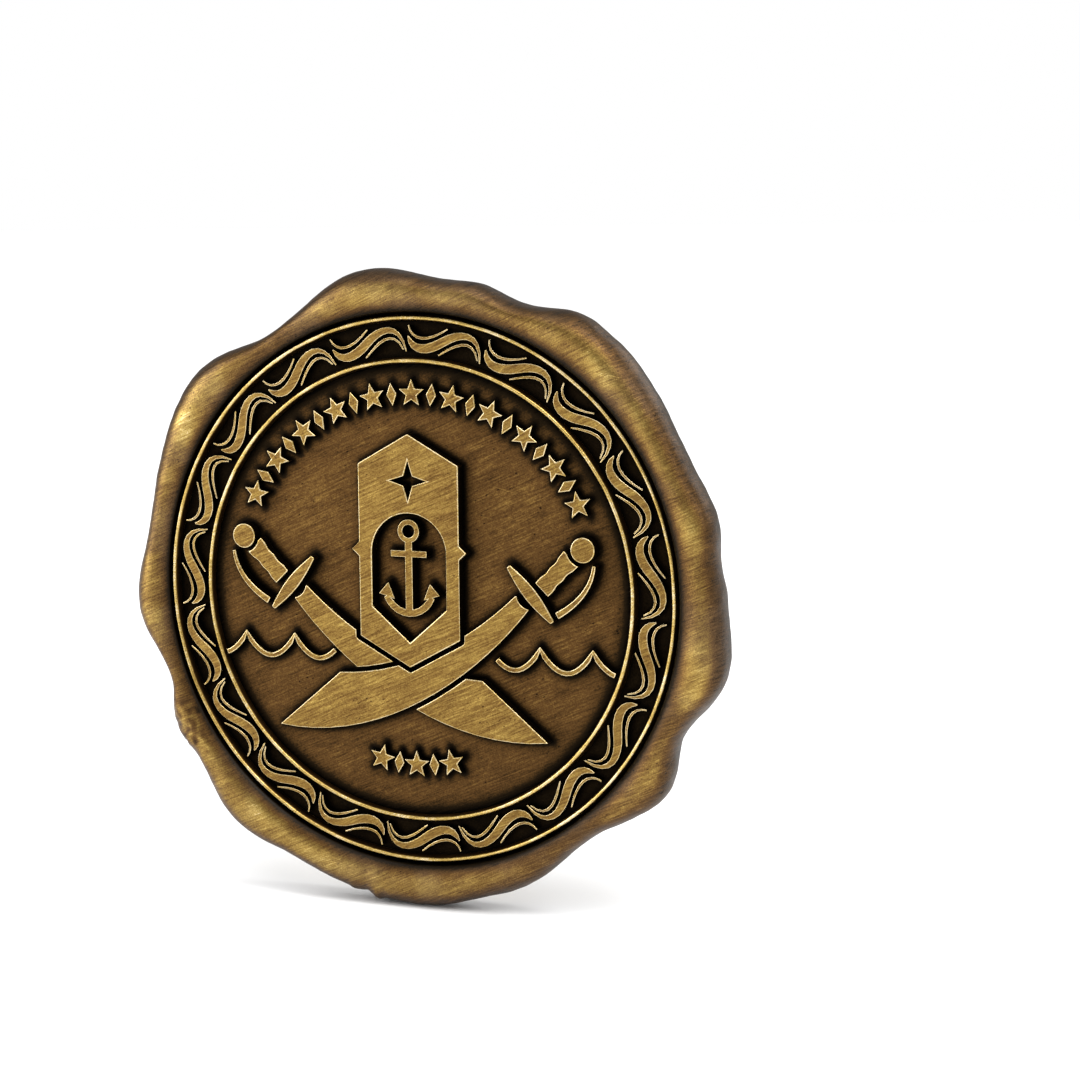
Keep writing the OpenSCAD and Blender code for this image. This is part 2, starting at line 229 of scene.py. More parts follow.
# Tones of antiqued bronze, from black patina to rubbed brass, as linear colours
TONES = [
    (0.0, (0.0020, 0.0016, 0.0012)),
    (0.2, (0.0150, 0.0092, 0.0042)),
    (0.45, (0.108, 0.054, 0.0165)),
    (0.6, (0.205, 0.119, 0.031)),
    (0.75, (0.335, 0.218, 0.055)),
    (0.88, (0.53, 0.372, 0.112)),
    (1.0, (0.74, 0.61, 0.37)),
]


# Slant of the brushing in degrees, and the slant and shift of two sets of scratches
BRUSH_SLANT = 24
SCRATCHES = [(-12, 3.7), (48, 9.1)]
# Depth in millimetres of the finest relief, which a bump stands in for
BUMP_DEPTH = 0.035
# Colour of the cool grey film on the rim
FILM = (0.20, 0.178, 0.155, 1)


def antique_bronze(name, tone, streak, mottle, grain, side=OBVERSE, pits=0.35, patina_and_shade=None, wall_tone=None,
                   wear_and_highlight=None, wear_and_highlight_gain=0.2, rough=(0.34, 0.62), bump=1.0, bloom=0.0, coat=0.0):
    """Brushed and patinated metal: one tone value drives colour and roughness.

    tone is 0 for black patina and 1 for rubbed brass. streak, mottle and grain are the strengths of
    brush lines, clouds and specks, pits of the dark pits. grime and wear name vertex attributes that
    lower and raise the tone: the first holds patina and painted shade, the second rubbing and painted
    highlights. wall_tone is the tone of surfaces that stand up from the coin's face, darker than the
    tops as patina and painted shade. rough is the roughness of the brightest and of the darkest metal.
    """
    n = Nodes(name)
    coord = n.add("ShaderNodeTexCoord")
    point = n.add("ShaderNodeVectorMath", operation="SCALE")
    n.wire(coord.outputs["Object"], point.inputs[0])
    point.inputs["Scale"].default_value = 1 / MM
    point = point.outputs[0]
    c, s = math.cos(math.radians(BRUSH_SLANT)), math.sin(math.radians(BRUSH_SLANT))
    along = n.vector("DOT_PRODUCT", point, (side * c, 0, s))
    across = n.vector("DOT_PRODUCT", point, (-side * s, 0, c))
    depth = n.vector("DOT_PRODUCT", point, (0, 1, 0))

    # brush lines wander a little, in three widths
    sway = n.math("MULTIPLY_ADD", n.noise(point, 0.22, 1.0), 0.25, across)

    def stretched(run, run_scale, cross, cross_scale):
        return n.combine(n.math("MULTIPLY", run, run_scale), n.math("MULTIPLY", cross, cross_scale), depth)

    def centred(noise_value):
        return n.math("SUBTRACT", noise_value, 0.5)

    broad = n.noise(stretched(along, 0.1, sway, 1.6), 1.0, 2.0)
    lines = n.noise(stretched(along, 0.28, sway, 6.5), 1.0, 3.0, 0.65)
    hair = n.noise(stretched(along, 0.8, sway, 11.0), 1.0, 1.0)
    cloud = n.noise(point, 0.5, 3.0, 0.55)
    fleck = n.noise(point, 4.5, 2.0, 0.6)
    speck = n.noise(point, 11.0, 1.0, 0.5)

    value = tone
    for layer, strength in ((broad, streak * 0.6), (lines, streak * 2.6), (hair, streak * 1.8),
                            (cloud, mottle * 1.6), (fleck, mottle * 1.5), (speck, grain * 3.0)):
        value = n.math("MULTIPLY_ADD", centred(layer), strength, value)

    # dark pits, most of them short dashes along the brushing
    cell = n.add("ShaderNodeTexVoronoi", feature="F1")
    n.wire(stretched(along, 1.3, across, 2.6), cell.inputs["Vector"])
    cell.inputs["Scale"].default_value = 1.0
    few = n.step(n.noise(point, 0.35, 2.0), 0.45, 0.62)
    pit = n.math("MULTIPLY", n.step(cell.outputs["Distance"], 0.05, 0.16, 1.0, 0.0), few)
    value = n.math("MULTIPLY_ADD", pit, -pits, value)

    # long fine scratches at two other angles
    scratch = None
    for angle, shift in SCRATCHES:
        c2, s2 = math.cos(math.radians(angle)), math.sin(math.radians(angle))
        u = n.vector("DOT_PRODUCT", point, (side * c2, 0, s2))
        v = n.math("ADD", n.vector("DOT_PRODUCT", point, (-side * s2, 0, c2)), shift)
        line = n.noise(stretched(u, 0.09, v, 3.2), 1.0, 0.0)
        line = n.step(n.math("ABSOLUTE", centred(line)), 0.0, 0.012, 1.0, 0.0)
        line = n.math("MULTIPLY", line, n.step(n.noise(point, 0.3 + 0.01 * shift, 1.0), 0.52, 0.64))
        scratch = line if scratch is None else n.math("MAXIMUM", scratch, line)
    value = n.math("MULTIPLY_ADD", scratch, 0.1, value)

    # rubbing and painted highlights from the vertex attribute raise the tone
    if wear_and_highlight:
        worn = n.add("ShaderNodeAttribute", attribute_name=wear_and_highlight).outputs["Fac"]
        patchy = n.math("MULTIPLY_ADD", centred(cloud), 0.9, 0.9)
        value = n.math("MULTIPLY_ADD", n.math("MULTIPLY", worn, patchy), wear_and_highlight_gain, value)
    # patina and painted shade from the vertex attribute lower the tone
    if patina_and_shade:
        patina_and_shade_fac = n.add("ShaderNodeAttribute", attribute_name=patina_and_shade).outputs["Fac"]
        patchy = n.math("MULTIPLY_ADD", centred(lines), 0.8, 1.0)
        patina_and_shade_fac = n.math("MULTIPLY", patina_and_shade_fac, patchy, clamp=True)
        value = n.math("MULTIPLY", value, n.math("SUBTRACT", 1.0, patina_and_shade_fac))
    if wall_tone is not None:
        # patina and painted shade: surfaces that stand up from the face take the darker wall tone
        facing = n.math("ABSOLUTE", n.vector("DOT_PRODUCT", coord.outputs["Normal"], (0, 1, 0)))
        facing = n.step(facing, 0.25, 0.75)
        rise = n.math("SUBTRACT", value, wall_tone)
        value = n.math("MULTIPLY_ADD", rise, facing, wall_tone)
    value = n.math("MAXIMUM", value, 0.0, clamp=True)

    shader = n.add("ShaderNodeBsdfPrincipled")
    colour = n.ramp(value, TONES)
    if bloom:
        # a cool grey film of old lacquer, in drifts
        drift = n.step(n.noise(point, 0.24, 2.0), 0.42, 0.66, 0.0, bloom)
        drift = n.math("MULTIPLY", drift, n.step(value, 0.1, 0.5))
        blend = n.add("ShaderNodeMix", data_type="RGBA")
        n.wire(drift, blend.inputs[0])
        n.wire(colour, blend.inputs[6])
        blend.inputs[7].default_value = FILM
        colour = blend.outputs[2]
    n.wire(colour, shader.inputs["Base Color"])
    shader.inputs["Metallic"].default_value = 1.0
    shader.inputs["Coat Weight"].default_value = coat
    shader.inputs["Coat Roughness"].default_value = 0.3
    rough_value = n.step(value, 0.1, 0.85, rough[1], rough[0])
    rough_value = n.math("MULTIPLY_ADD", centred(hair), 0.18, rough_value)
    n.wire(rough_value, shader.inputs["Roughness"])

    height = n.math("MULTIPLY_ADD", lines, 0.8, n.math("MULTIPLY", hair, 0.35))
    for layer, strength in ((fleck, 0.45), (speck, 4.0 * grain), (broad, 1.2), (pit, -0.9), (scratch, -0.3)):
        height = n.math("MULTIPLY_ADD", layer, strength, height)
    relief = n.add("ShaderNodeBump")
    relief.inputs["Strength"].default_value = 0.7 * bump
    relief.inputs["Distance"].default_value = BUMP_DEPTH * MM
    n.wire(height, relief.inputs["Height"])
    n.wire(relief.outputs[0], shader.inputs["Normal"])
    n.wire(shader.outputs[0], n.out.inputs["Surface"])
    return n.material


rim_metal = antique_bronze(
    "rim_bronze", 0.445, streak=0.2, mottle=0.1, grain=0.13, pits=0.25, patina_and_shade="patina_and_shade", wear_and_highlight="wear_and_highlight",
    wear_and_highlight_gain=0.28, rough=(0.33, 0.54), bump=1.1, bloom=0.08, coat=0.12)
floor_metal = antique_bronze(
    "blackened_ground", 0.15, streak=0.05, mottle=0.14, grain=0.1, pits=0.05, patina_and_shade="patina_and_shade",
    rough=(0.45, 0.6), bump=0.8)
obverse_field_metal = antique_bronze(
    "obverse_brushed_field", 0.45, streak=0.17, mottle=0.12, grain=0.1, patina_and_shade="patina_and_shade")
reverse_field_metal = antique_bronze(
    "reverse_brushed_field", 0.45, streak=0.1, mottle=0.22, grain=0.13, side=REVERSE, patina_and_shade="patina_and_shade")
obverse_ring_metal = antique_bronze(
    "obverse_ring_brass", 0.8, streak=0.06, mottle=0.16, grain=0.12, pits=0.15, wall_tone=0.38,
    wear_and_highlight="wear_and_highlight", rough=(0.3, 0.45))
reverse_ring_metal = antique_bronze(
    "reverse_ring_brass", 0.78, streak=0.06, mottle=0.18, grain=0.12, side=REVERSE, pits=0.15,
    wall_tone=0.38, wear_and_highlight="wear_and_highlight", rough=(0.3, 0.45))
obverse_relief = antique_bronze(
    "obverse_relief_brass", 0.605, streak=0.2, mottle=0.12, grain=0.11, pits=0.3, wall_tone=0.12,
    rough=(0.34, 0.5))
reverse_relief = antique_bronze(
    "reverse_relief_brass", 0.68, streak=0.18, mottle=0.15, grain=0.12, side=REVERSE, pits=0.3,
    wall_tone=0.03)
# The bevelled edges of the relief: rubbed brass and a painted highlight, much lighter than the tops
obverse_highlit_edge = antique_bronze(
    "obverse_worn_and_highlit_edge", 0.96, streak=0.04, mottle=0.18, grain=0.1, pits=0.1, wall_tone=0.3,
    rough=(0.26, 0.45), bump=0.5)
reverse_highlit_edge = antique_bronze(
    "reverse_worn_and_highlit_edge", 0.94, streak=0.04, mottle=0.22, grain=0.1, side=REVERSE, pits=0.1,
    wall_tone=0.3, rough=(0.26, 0.45), bump=0.5)

# ---- Rolled rim ----

# Deepest hollow of the edge, and how much further out its largest lobes are
HOLLOW_R = 23.1
LOBE_REACH = 2.0
# Where the roll starts, beside the groove
ROLL_START_R = FOOT_R + 0.17
ROLL_START_Z = 1.42
RIM_STEPS = 1080
ROLL_STEPS = 11
# The nicked stretch of the edge: its middle and half width in degrees
NICKS_AT = 211
NICKS_HALF = 6.5
# Where the outer flank of the rim begins, and the height of its worn crest line, which rubbing and painted
# highlights make lighter
FLANK_R = 22.6
CREST_LINE_Z = 2.22


def swell(reach):
    """How far the edge is out, from 0 in the deepest hollow to 1 on the largest lobe."""
    return unit((reach - HOLLOW_R) / LOBE_REACH)


def rim_section(angle):
    """Half a section, from the groove beside the outer ring over the crest to the outline."""
    reach = rim_outline(angle)
    a = math.radians(angle)
    wander = noise.noise(Vector((1.3 * math.cos(a), 1.3 * math.sin(a), 4)))
    crest_r = ROLL_START_R + (reach - FOOT_R) * (0.46 + 0.10 * wander)
    crest = CREST_Z - 0.05 * (1 - wander) - 0.3 * (1 - swell(reach))
    points = [(FOOT_R - 0.02, CORE_Z), (FOOT_R + 0.05, CORE_Z), (FOOT_R + 0.09, CORE_Z + 0.3),
              (ROLL_START_R, ROLL_START_Z)]
    for j in range(1, ROLL_STEPS + 1):
        t = math.pi / 2 * j / ROLL_STEPS
        points.append((crest_r - (crest_r - ROLL_START_R) * math.cos(t) ** 1.05,
                       ROLL_START_Z + (crest - ROLL_START_Z) * math.sin(t) ** 1.15))
    for j in range(1, ROLL_STEPS + 2):
        t = math.pi / 2 * j / (ROLL_STEPS + 1)
        points.append((crest_r + (reach - crest_r) * abs(math.sin(t)) ** 0.92,
                       crest * abs(math.cos(t)) ** 0.88))
    return points


def rim_patina_and_shade(p, r, angle, nicked, back, lobe):
    """Patina on the rim at p in the groove, the nicks and the hollows, with painted shade that widens the
    groove's dark band towards +X; the rim also darkens towards the outer edge.
    """
    reach = rim_outline(angle)
    # patina in the groove, with painted shade: its dark band is wider towards +X than towards -X
    groove_w = (0.26 + 0.12 * (reach - FOOT_R)) * (0.78 + 0.32 * math.cos(math.radians(angle)))
    slope = max(r - FOOT_R - 0.1, 0) / groove_w
    dark = 0.95 * math.exp(-(slope ** 1.25)) if abs(p.z) > 1.0 or r < 22 else 0
    dark = max(dark, 0.3 * nicked * max(0, 0.5 - 2.2 * noise.noise(p * 1.9)))
    # the rim darkens towards its outer edge
    outer = unit((r - FLANK_R) / (reach - FLANK_R))
    dark = max(dark, 0.36 * outer ** 2.5)
    cloud = noise.noise(Vector((p.x, p.y, 0.3 * p.z)) * 0.16)
    hollow = (1 - lobe) ** 2 * (0.08 + back * (0.35 + 0.4 * cloud))
    dark = 1 - (1 - dark) * (1 - min(0.7, max(0, hollow)))
    burn = back * unit(3 * outer - 1.2) * max(0, 0.22 + 0.4 * cloud)
    return 1 - (1 - dark) * (1 - burn)


def make_rim():
    """The rolled rim: one closed sweep with lumps, nicks, patina with painted shade, and a worn crest with
    painted highlights.
    """
    sections, patina_and_shade, wear_and_highlight = [], [], []
    for i in range(RIM_STEPS):
        angle = 360 * i / RIM_STEPS
        a = math.radians(angle)
        half = rim_section(angle)
        lobe = swell(rim_outline(angle))
        section = []
        for r, z in half + [(r, -z) for r, z in reversed(half[:-1])]:
            p = Vector((r * math.cos(a), r * math.sin(a), z))
            lump = 0.10 * noise.noise(p * 0.35) + 0.035 * noise.noise(p * 1.1)
            nicked = math.exp(-(((angle - NICKS_AT) / NICKS_HALF) ** 4)) * (1 if z > -0.5 else 0)
            nicks = nicked * (0.2 * noise.noise(p * 1.3) - 0.03)
            push = unit((r - FOOT_R - 0.2) / 0.6) * (lump + nicks)
            outward = unit((r - FOOT_R) / 3.2)
            section.append(place(r * math.cos(a) + push * outward * math.cos(a),
                                 r * math.sin(a) + push * outward * math.sin(a),
                                 z + push * (1 - outward) * (1 if z > 0 else -1) * 0.6, OBVERSE))
            back = unit(0.3 - 0.7 * z)
            patina_and_shade.append(rim_patina_and_shade(p, r, angle, nicked, back, lobe))
            # painted highlight and rubbing: the crest line is painted lighter, more on the lobes and up to
            # 1.6 times as much on the reverse half
            crest = math.exp(-(((abs(z) - CREST_LINE_Z) / 0.3) ** 2))
            rubbed = 0.35 + 0.75 * lobe + 0.7 * noise.noise(p * 0.35)
            wear_and_highlight.append(crest * max(0, rubbed) * (1 + 0.6 * back))
        sections.append(section)
    verts, faces = swept(sections)
    new_piece("rolled_rim", verts, faces, rim_metal, ["rim_ring", "rim_edge"],
              {"patina_and_shade": patina_and_shade, "wear_and_highlight": wear_and_highlight})


# ---- Bead rings ----

RING_STEPS = 900
RING_ARC_STEPS = 14
# Exponent of the ring's rounded section, where 2 is an ellipse
RING_FULLNESS = 2.4


def make_ring(name, node, side, radius, metal):
    """A rounded bead ring whose radius, width and height wander a little."""
    sections, wear_and_highlight = [], []
    for i in range(RING_STEPS):
        a = 2 * math.pi * i / RING_STEPS
        px, py = math.cos(a), math.sin(a)
        wobble = 0.022 * noise.noise(Vector((px * 9 + radius, py * 9, side)))
        fatness = 1 + 0.09 * noise.noise(Vector((px * 14, py * 14 + radius, side)))
        tall = RING_TOP + 0.018 * noise.noise(Vector((px * 6, py * 6, radius)))
        section = []
        for j in range(RING_ARC_STEPS + 1):
            t = math.pi * j / RING_ARC_STEPS
            across = -math.copysign(abs(math.cos(t)) ** (2 / RING_FULLNESS), math.cos(t))
            up = abs(math.sin(t)) ** (2 / RING_FULLNESS)
            r = radius + wobble + fatness * across * RING_W / 2
            section.append(place(r * px, r * py, CORE_Z - SINK + (tall - CORE_Z + SINK) * up, side))
            # painted highlight and rubbing: the ring's top is painted lighter than its sides
            wear_and_highlight.append(up ** 3 * (0.5 + 0.6 * noise.noise(Vector((px * 11, py * 11, radius)))))
        sections.append(section)
    verts, faces = swept(sections)
    if side == REVERSE:
        faces = [tuple(reversed(f)) for f in faces]
    new_piece(name, verts, faces, metal, [node], {"wear_and_highlight": wear_and_highlight})


# ---- Relief: the CAD shapes with rounded edges, rubbed and painted with a highlight ----

# Points along the foot of every relief piece, which the patina and painted shade gather around
outlines = {OBVERSE: [], REVERSE: []}
OUTLINE_PITCH = 0.1


def make_relief(name, node, side, round_mm=0.085, bm=None):
    """A relief piece with bevelled edges, rubbed and painted with a highlight, from its CAD node unless a
    mesh is given.
    """
    if bm is None:
        bm = bmesh.new()
        bm.from_mesh(frame["nodes"][node].data)
        bmesh.ops.remove_doubles(bm, verts=bm.verts, dist=0.002 * MM)
        bmesh.ops.dissolve_limit(bm, angle_limit=math.radians(0.6), verts=bm.verts, edges=bm.edges,
                                 use_dissolve_boundaries=False)
    bmesh.ops.recalc_face_normals(bm, faces=bm.faces)
    foot = min(abs(v.co.y) for v in bm.verts)
    for e in bm.edges:
        a, b = e.verts[0].co, e.verts[1].co
        low = abs(abs(a.y) - foot) < 0.02 * MM and abs(abs(b.y) - foot) < 0.02 * MM
        if low and any(abs(f.normal.y) < 0.6 for f in e.link_faces):
            count = max(1, int((a - b).length / (OUTLINE_PITCH * MM)))
            for k in range(count + 1):
                p = a.lerp(b, k / count)
                outlines[side].append((side * p.x / MM, p.z / MM))
    for f in bm.faces:
        f.smooth = True
    for e in bm.edges:
        e.smooth = e.calc_face_angle(0) < math.radians(38)
    mesh = bpy.data.meshes.new(name)
    bm.to_mesh(mesh)
    bm.free()
    obj = bpy.data.objects.new(name, mesh)
    scene.collection.objects.link(obj)
    mesh.materials.append(obverse_relief if side == OBVERSE else reverse_relief)
    mesh.materials.append(obverse_highlit_edge if side == OBVERSE else reverse_highlit_edge)
    bevel = obj.modifiers.new("rounded_edges", "BEVEL")
    bevel.width = round_mm * MM
    bevel.segments = 2
    bevel.limit_method = "ANGLE"
    bevel.angle_limit = math.radians(32)
    # the bevel's faces take the lighter edge material: rubbing and painted highlight
    bevel.material = 1
    bevel.harden_normals = True
    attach(obj, "root")
    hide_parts(node)


def make_needles(name, node, first, base_r, base_w, point_r, tip_r, edge_z, ridge_z):
    """Four needles a quarter turn apart: two facets fall from a ridge to a thin tip."""
    bm = bmesh.new()
    tip_w = 0.16
    for turn in range(first, first + 360, 90):
        c, s = math.cos(math.radians(turn)), math.sin(math.radians(turn))

        def vert(x, y, z):
            return bm.verts.new([v * MM for v in place(x * c - y * s, x * s + y * c, z, REVERSE)])

        plan = [(-base_w, base_r), (base_w, base_r), (tip_w, point_r), (tip_w, tip_r), (-tip_w, tip_r),
                (-tip_w, point_r)]
        low = [vert(x, y, FIELD_Z - SINK) for x, y in plan]
        high = [vert(x, y, edge_z) for x, y in plan]
        crown = vert(0, base_r + 0.35, ridge_z)
        point = vert(0, point_r, edge_z + 0.12)
        tip = vert(0, tip_r, edge_z + 0.02)
        for i in range(6):
            k = (i + 1) % 6
            if i == 3:
                bm.faces.new((low[3], low[4], high[4], tip, high[3]))
            else:
                bm.faces.new((low[i], low[k], high[k], high[i]))
        bm.faces.new((high[0], high[1], crown))
        bm.faces.new((high[1], high[2], point, crown))
        bm.faces.new((high[5], high[0], crown, point))
        bm.faces.new((high[2], high[3], tip, point))
        bm.faces.new((high[4], high[5], point, tip))
        bm.faces.new(low)
    make_relief(name, node, REVERSE, 0.06, bm)


for node in ("obverse_scrolls", "obverse_star_arc", "obverse_lower_stars", "plaque", "plaque_anchor",
             "left_cutlass_blade", "right_cutlass_blade", "left_guard", "right_guard",
             "left_grip", "right_grip", "left_pommel", "right_pommel",
             "left_knuckle_bow", "right_knuckle_bow", "left_waves", "right_waves"):
    make_relief("look_" + node, node, OBVERSE)
for node in ("reverse_scrolls", "reverse_top_stars", "reverse_bottom_stars", "compass_band",
             "degree_stars", "compass_hub", "compass_scale_ring", "compass_thin_ring",
             "compass_centre_ring"):
    make_relief("look_" + node, node, REVERSE, 0.075)
make_needles("look_cardinal_needles", "cardinal_needles", 0, 2.3, 1.7, 14.7, 16.7, 1.25, 2.0)
make_needles("look_diagonal_needles", "diagonal_needles", 45, 3.6, 0.9, 13.0, 13.8, 1.25, 1.75)

# ---- Ball pins ----


def make_pins():
    """Half-round stems on the scale ring, with domed heads."""
    foot_r, head_r, ball_r, stem_w = 8.28, 10.4, 0.45, 0.15
    floor, stem_top, shoulder, top = FIELD_Z - SINK, 1.36, 1.2, 1.55
    stem_rows, stem_arc, head_rows, head_arc = 6, 8, 8, 24
    verts, faces, wear_and_highlight = [], [], []

    def tube(rows):
        """A closed solid through rows of points, with both its ends filled."""
        base, m = len(verts), len(rows[0])
        for row in rows:
            for (px, py, pz), worn in row:
                verts.append(place(px, py, pz, REVERSE))
                wear_and_highlight.append(worn)
        for i in range(len(rows) - 1):
            for j in range(m):
                k = (j + 1) % m
                a, b = base + i * m, base + (i + 1) * m
                faces.append((a + j, a + k, b + k, b + j))
        faces.append(tuple(range(base, base + m)))
        faces.append(tuple(range(len(verts) - m, len(verts))))

    for turn in PIN_TURNS:
        out = (-math.sin(math.radians(turn)), math.cos(math.radians(turn)))
        beside = (out[1], -out[0])
        rows = []
        for r in np.linspace(foot_r, head_r, stem_rows):
            row = []
            for j in range(stem_arc + 1):
                t = math.pi * j / stem_arc
                w = -stem_w * math.cos(t)
                up = abs(math.sin(t)) ** 0.8
                x, y = r * out[0] + w * beside[0], r * out[1] + w * beside[1]
                # painted highlight and rubbing: the stem is painted lighter towards its top
                row.append(((x, y, floor + up * (stem_top - floor)), up * 0.6))
            rows.append(row)
        tube(rows)
        rows = []
        for i in range(head_rows):
            t = math.pi / 2 * i / (head_rows - 1) * 0.97
            r, z = ball_r * math.cos(t), shoulder + (top - shoulder) * math.sin(t)
            # painted highlight and rubbing: the dome is painted lighter towards its top
            rows.append([((head_r * out[0] + r * math.cos(b), head_r * out[1] + r * math.sin(b), z),
                          math.sin(t)) for b in np.linspace(0, 2 * math.pi, head_arc, endpoint=False)])
        rows.insert(0, [((p[0][0], p[0][1], floor), 0) for p in rows[0]])
        tube(rows)
        outlines[REVERSE].extend(
            (head_r * out[0] + ball_r * math.cos(b), head_r * out[1] + ball_r * math.sin(b))
            for b in np.linspace(0, 2 * math.pi, head_arc))
        outlines[REVERSE].extend(
            (r * out[0] + w * beside[0], r * out[1] + w * beside[1])
            for r in np.linspace(foot_r, head_r, 20) for w in (-stem_w, stem_w))
    new_piece("look_ball_pins", verts, faces, reverse_ring_metal, ["ball_pins"],
              {"wear_and_highlight": wear_and_highlight})


make_pins()
make_rim()
for face, side, metal in (("obverse", OBVERSE, obverse_ring_metal),
                          ("reverse", REVERSE, reverse_ring_metal)):
    for which, radius in (("outer", OUTER_RING_R), ("inner", INNER_RING_R)):
        node = f"{face}_{which}_ring"
        make_ring("look_" + node, node, side, radius, metal)

# ---- Grounds: the two fields and the blank, with patina and painted shade gathered beside the relief ----


def nearest(side, points):
    """Distance from each point of a face to the foot of its nearest relief."""
    tree = KDTree(len(outlines[side]))
    for i, (x, y) in enumerate(outlines[side]):
        tree.insert((x, y, 0), i)
    tree.balance()
    return np.array([tree.find((x, y, 0))[2] for x, y in points])


# How far the patina and painted shade reach from the inner bead ring onto a field
RING_SHADE = 0.6


def make_field(name, node, side, metal, halo):
    """A slightly uneven field; halo is how far its patina and painted shade reach from the relief."""
    rings, steps = 118, 720
    points = [(0.0, 0.0)]
    for i in range(1, rings + 1):
        r = (FIELD_R + 0.05) * i / rings
        for j in range(steps):
            a = 2 * math.pi * j / steps
            points.append((r * math.cos(a), r * math.sin(a)))
    faces = [(0, 1 + j, 1 + (j + 1) % steps) for j in range(steps)]
    for i in range(rings - 1):
        a, b = 1 + i * steps, 1 + (i + 1) * steps
        for j in range(steps):
            k = (j + 1) % steps
            faces.append((a + j, b + j, b + k, a + k))
    away = nearest(side, points)
    radius = np.hypot(*np.array(points).T)
    to_ring = np.clip(FIELD_R - radius, 0, None)
    # patina and painted shade: the field darkens beside the foot of each relief and beside the inner bead
    # ring
    beside = 0.97 * np.exp(-((away / halo) ** 1.4)) + 0.2 * np.exp(-away / (3.5 * halo))
    by_ring = 0.96 * np.exp(-((to_ring / RING_SHADE) ** 1.4)) + 0.18 * np.exp(-to_ring / (3 * RING_SHADE))
    patina_and_shade = np.clip(1 - (1 - np.clip(beside, 0, 0.97)) * (1 - np.clip(by_ring, 0, 0.97)), 0, 0.98)
    verts = []
    for x, y in points:
        z = FIELD_Z + 0.012 * noise.noise(Vector((x * 0.35, y * 0.35, side)))
        verts.append(place(x, y, z, side))
    # a skirt closes the disc down into the blank
    edge = 1 + (rings - 1) * steps
    low = len(verts)
    for j in range(steps):
        x, y = points[edge + j]
        verts.append(place(x, y, CORE_Z - 0.05, side))
    patina_and_shade = np.append(patina_and_shade, np.full(steps, 0.97))
    for j in range(steps):
        k = (j + 1) % steps
        faces.append((edge + j, low + j, low + k, edge + k))
    faces.append(tuple(low + j for j in reversed(range(steps))))
    if side == REVERSE:
        faces = [tuple(reversed(f)) for f in faces]
    new_piece(name, verts, faces, metal, [node], {"patina_and_shade": patina_and_shade})


def make_blank():
    """The blank under everything: its two border floors are seen between the bead rings."""
    rings, steps = 26, 900
    inner, outer = FIELD_R - 0.2, FOOT_R + 0.03
    verts, faces, patina_and_shade = [], [], []
    for side in (OBVERSE, REVERSE):
        points = []
        for i in range(rings + 1):
            r = inner + (outer - inner) * i / rings
            for j in range(steps):
                a = 2 * math.pi * j / steps
                points.append((r * math.cos(a), r * math.sin(a)))
        away = nearest(side, points)
        radius = np.hypot(*np.array(points).T)
        ring_gap = np.minimum(abs(radius - INNER_RING_R), abs(radius - OUTER_RING_R)) - RING_W / 2
        # patina and painted shade: the blackened border floors darken further beside the relief and the bead
        # rings
        shade = 0.95 * np.exp(-np.minimum(away, np.clip(ring_gap, 0, None)) / 0.5)
        patina_and_shade.extend(np.clip(shade, 0, 0.97))
        base = len(verts)
        for x, y in points:
            z = CORE_Z + 0.015 * noise.noise(Vector((x * 1.4, y * 1.4, 3 * side)))
            verts.append(place(x, y, z, side))
        for i in range(rings):
            a, b = base + i * steps, base + (i + 1) * steps
            for j in range(steps):
                k = (j + 1) % steps
                faces.append((a + j, b + j, b + k, a + k))
    half = len(verts) // 2
    # inner and outer walls join the two faces
    for i in (0, rings):
        for j in range(steps):
            k = (j + 1) % steps
            a, b = i * steps + j, i * steps + k
            c = half + i * steps + (steps // 2 - j) % steps
            d = half + i * steps + (steps // 2 - k) % steps
            faces.append((a, b, d, c) if i else (a, c, d, b))
    new_piece("look_core_disc", verts, faces, floor_metal, ["core_disc"],
              {"patina_and_shade": patina_and_shade})


make_blank()
make_field("look_obverse_field", "obverse_field", OBVERSE, obverse_field_metal, 0.33)
make_field("look_reverse_field", "reverse_field", REVERSE, reverse_field_metal, 0.3)

# every face of the swept and built pieces looks outwards
for obj in list(scene.objects):
    if obj.type == "MESH" and obj.name.startswith(("look_", "rolled_rim")) and not obj.modifiers:
        bm = bmesh.new()
        bm.from_mesh(obj.data)
        bmesh.ops.recalc_face_normals(bm, faces=bm.faces)
        bm.to_mesh(obj.data)
        bm.free()

# ---- Studio ----

# The floor: its radius in metres, and its small gap below the coin
FLOOR_R = 15.0
FLOOR_GAP = 0.00002

floor_z = cad_low.z - FLOOR_GAP
bm = bmesh.new()
bm.faces.new([
    bm.verts.new((FLOOR_R * math.cos(math.radians(a)), FLOOR_R * math.sin(math.radians(a)), floor_z))
    for a in range(0, 360, 5)])
floor_mesh = bpy.data.meshes.new("studio_floor")
bm.to_mesh(floor_mesh)
bm.free()
studio_floor = bpy.data.objects.new("studio_floor", floor_mesh)
scene.collection.objects.link(studio_floor)
paper = Nodes("studio_white")
paper_shader = paper.add("ShaderNodeBsdfPrincipled")
paper_shader.inputs["Base Color"].default_value = (0.96, 0.96, 0.96, 1)
paper_shader.inputs["Roughness"].default_value = 0.95
paper_shader.inputs["Specular IOR Level"].default_value = 0.1
paper.wire(paper_shader.outputs[0], paper.out.inputs["Surface"])
floor_mesh.materials.append(paper.material)


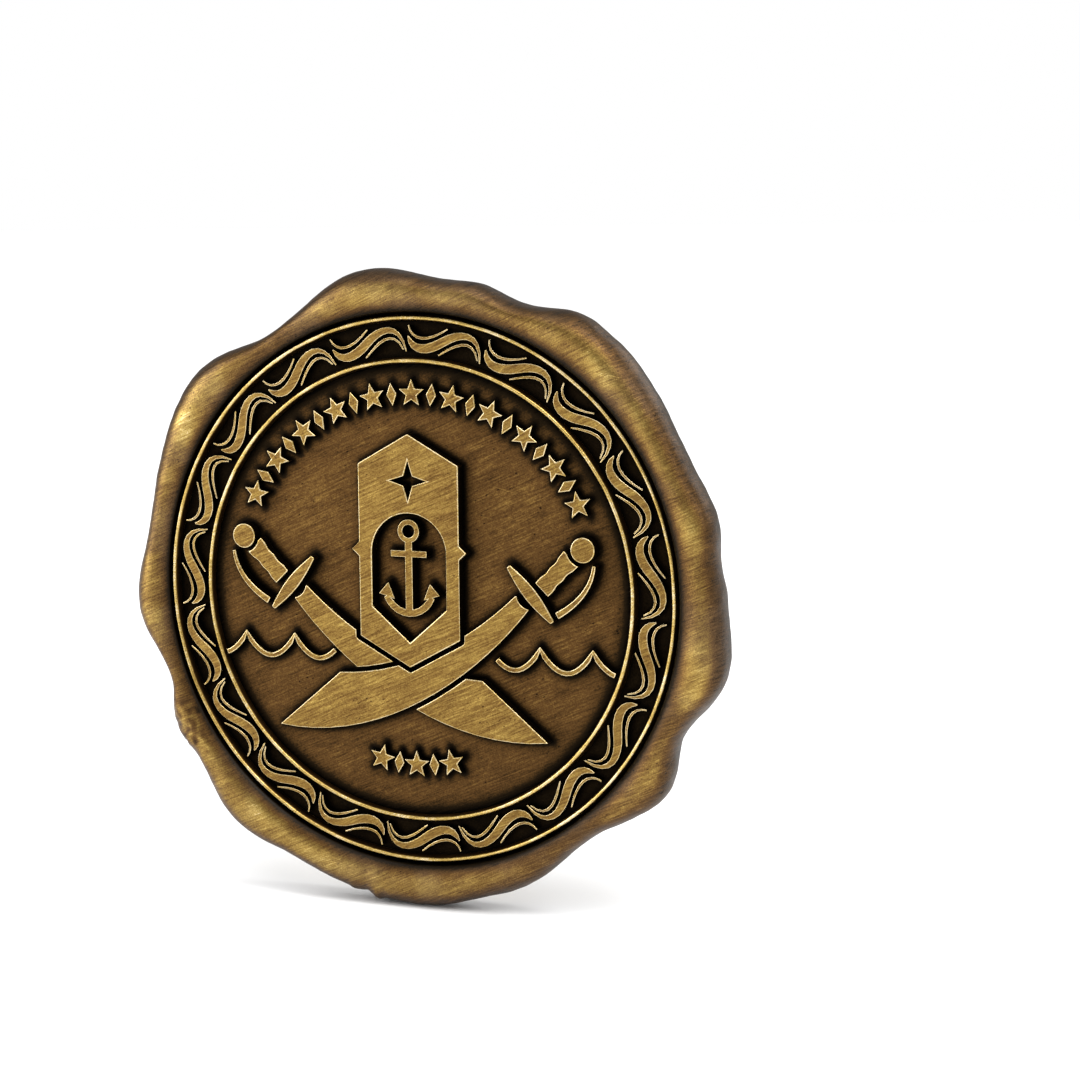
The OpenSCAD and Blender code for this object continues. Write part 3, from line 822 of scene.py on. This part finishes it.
def softbox(name, location, size, power):
    """A rectangular area light that faces the coin."""
    light = bpy.data.lights.new(name, "AREA")
    light.shape = "RECTANGLE"
    light.size, light.size_y = size
    light.energy = power
    obj = bpy.data.objects.new(name, light)
    obj.location = location
    obj.rotation_euler = (-Vector(location)).to_track_quat("-Z", "Y").to_euler()
    scene.collection.objects.link(obj)


sky = bpy.data.lights.new("sky_panel", "SUN")
sky.energy = 2.2
sky.angle = math.radians(72)
sky_panel = bpy.data.objects.new("sky_panel", sky)
sky_panel.rotation_euler = Vector((-0.25, 0.3, -1)).to_track_quat("-Z", "Y").to_euler()
scene.collection.objects.link(sky_panel)
softbox("left_light", (-0.55, -0.35, 0.2), (0.35, 0.5), 2.4)
softbox("right_light", (0.6, -0.15, 0.3), (0.2, 0.4), 0.7)
softbox("low_light", (-0.4, -0.5, 0.03), (0.3, 0.15), 0.3)
softbox("top_light", (0.35, -0.25, 0.75), (0.25, 0.25), 1.6)
softbox("back_light", (0.4, 0.5, 0.4), (0.6, 0.4), 2.6)

# the air lights the coin less than it shows behind it
world = bpy.data.worlds.new("studio_air")
world.use_nodes = True
air = world.node_tree
seen = air.nodes.new("ShaderNodeLightPath")
strength = air.nodes.new("ShaderNodeMapRange")
strength.inputs["To Min"].default_value = 0.45
strength.inputs["To Max"].default_value = 1.0
air.links.new(seen.outputs["Is Camera Ray"], strength.inputs["Value"])
air.nodes["Background"].inputs["Color"].default_value = (1, 1, 1, 1)
air.links.new(strength.outputs["Result"], air.nodes["Background"].inputs["Strength"])
scene.world = world
scene.view_settings.view_transform = "Standard"

# ---- Camera ----

camera_data = bpy.data.cameras.new("camera")
camera_data.sensor_width = 36
camera_data.lens = 81.4
camera_data.clip_start = 0.01
camera_data.clip_end = 20
camera = bpy.data.objects.new("camera", camera_data)
camera.location = (0.0773, -0.1701, 0.0284)
aim = Vector((0.00985, 0, 0.00425)) - camera.location
camera.rotation_mode = "QUATERNION"
camera.rotation_quaternion = aim.to_track_quat("-Z", "Y") @ Quaternion((0, 0, 1), math.radians(-0.52))
scene.collection.objects.link(camera)
scene.camera = camera

bpy.context.view_layer.update()
